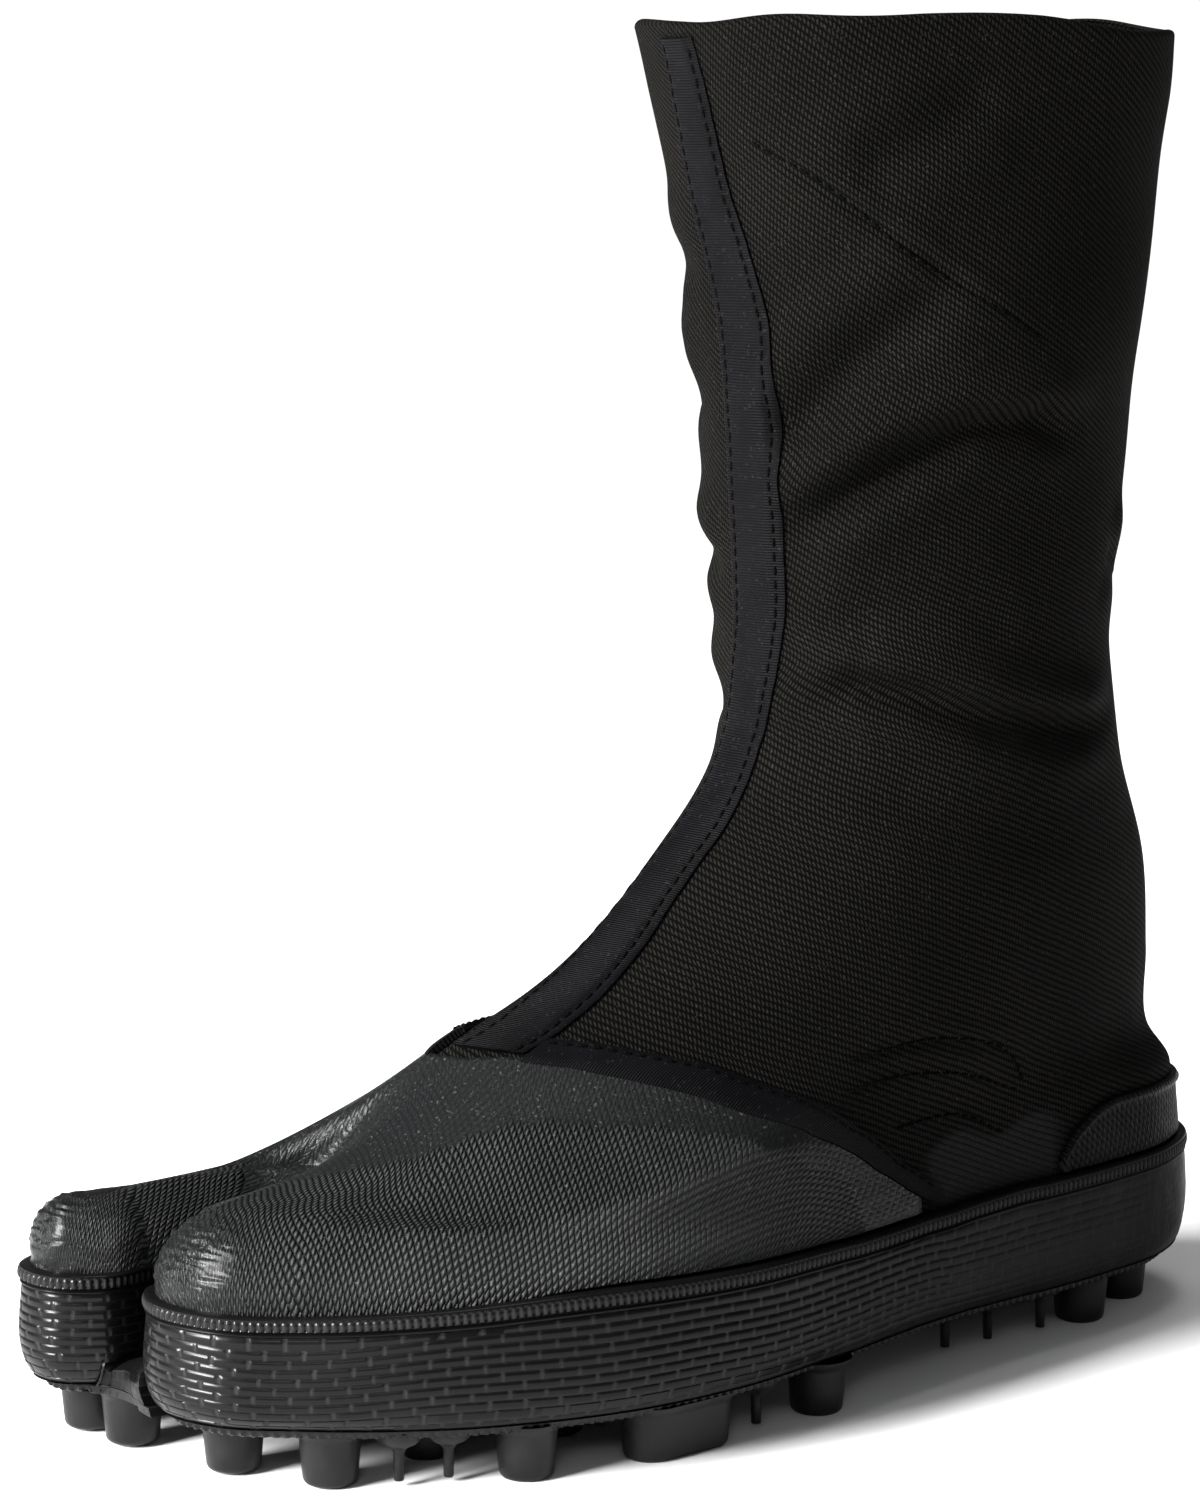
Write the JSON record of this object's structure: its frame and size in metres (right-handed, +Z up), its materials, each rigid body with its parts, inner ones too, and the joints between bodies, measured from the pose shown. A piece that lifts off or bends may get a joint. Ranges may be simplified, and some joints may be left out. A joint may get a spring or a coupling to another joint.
{
  "type": "split-toe work boot",
  "caption": "Tall split-toe cloth work boot with a rubber foxing band, a rubber-coated vamp, a taped front seam and a studded rubber outsole.",
  "frame": {"origin": "on the floor under the middle of the boot's bounding box, at the bottom of the studs", "axes": "+Z up, -Y towards the toes, +X towards the outer side of the left foot"},
  "size_m": [0.1146, 0.2782, 0.2894],
  "materials": {
    "shaft_twill": "coarse black cotton twill",
    "rubberised_canvas": "ribbed canvas coated with black rubber, semi-gloss",
    "binding_tape": "fine ribbed slate-black tape, satin",
    "foxing_rubber": "moulded black rubber, semi-gloss",
    "outsole_rubber": "moulded black rubber, satin",
    "insole_cloth": "dark grey cloth over foam"
  },
  "bodies": {
    "root": {"upper": "shaft_twill", "foxing": "foxing_rubber", "outsole": "outsole_rubber", "insole": "insole_cloth", "vamp_cover": "rubberised_canvas", "front_tape": "binding_tape", "vamp_binding_outer": "binding_tape", "vamp_binding_inner": "binding_tape", "heel_counter": "rubberised_canvas"}
  },
  "joints": []
}
